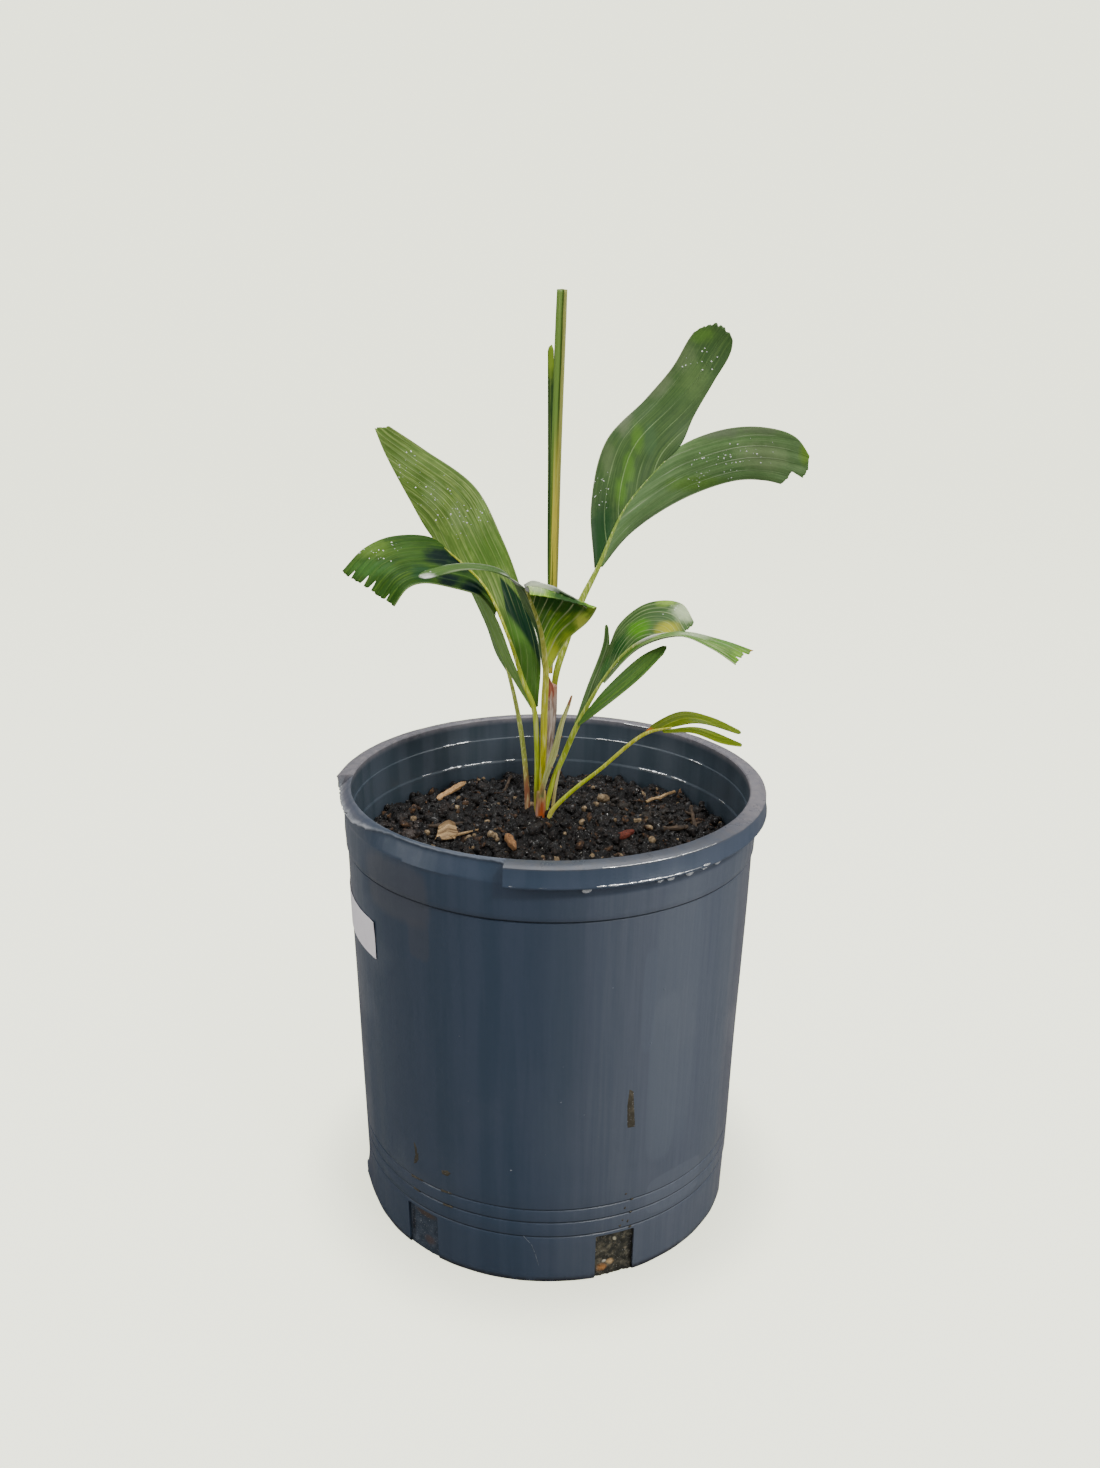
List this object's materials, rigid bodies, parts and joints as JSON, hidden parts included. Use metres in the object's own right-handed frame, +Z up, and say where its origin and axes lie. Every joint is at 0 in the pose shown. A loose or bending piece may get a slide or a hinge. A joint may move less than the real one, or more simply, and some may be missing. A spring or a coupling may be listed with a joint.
{
  "type": "potted palm",
  "caption": "Young fan-lobed palm with torn-tipped leaves and a folded spear leaf, growing in a round dark plastic nursery pot with a chipped rim",
  "frame": {"origin": "centre of the pot's flat bottom, on the surface it stands on", "axes": "+Z up the pot's axis, +X towards the two fronds that lean low and right, -Y towards the broken front of the rim"},
  "size_m": [0.2422, 0.225, 0.479],
  "materials": {
    "pot": "satin, wet in places",
    "label": "matte",
    "soil": "damp, crumbly",
    "wood": "rough",
    "stone": "rough",
    "stem": "fibrous, dry",
    "dark_leaf": "semi-gloss",
    "leaf": "semi-gloss",
    "pale_leaf": "semi-gloss"
  },
  "bodies": {
    "root": {"pot": "pot", "label": "label", "soil": "soil", "pebble": "stone", "stem_base": "stem", "crown_sheath": "stem", "frond_tall": "dark_leaf", "frond_left": "leaf", "frond_front": "pale_leaf", "frond_arching": "leaf", "frond_low": "pale_leaf", "frond_back": "pale_leaf", "spear_leaf": "leaf", "dry_leaf_spike": "pale_leaf", "bark_chip_back_left": "wood", "bark_flake_left": "wood", "bark_chip_front": "wood", "bark_bit_right": "wood", "twig_left": "wood", "twig_right_back": "wood", "twig_right": "wood", "twig_right_front": "wood", "twig_dark_back": "wood"}
  },
  "joints": []
}
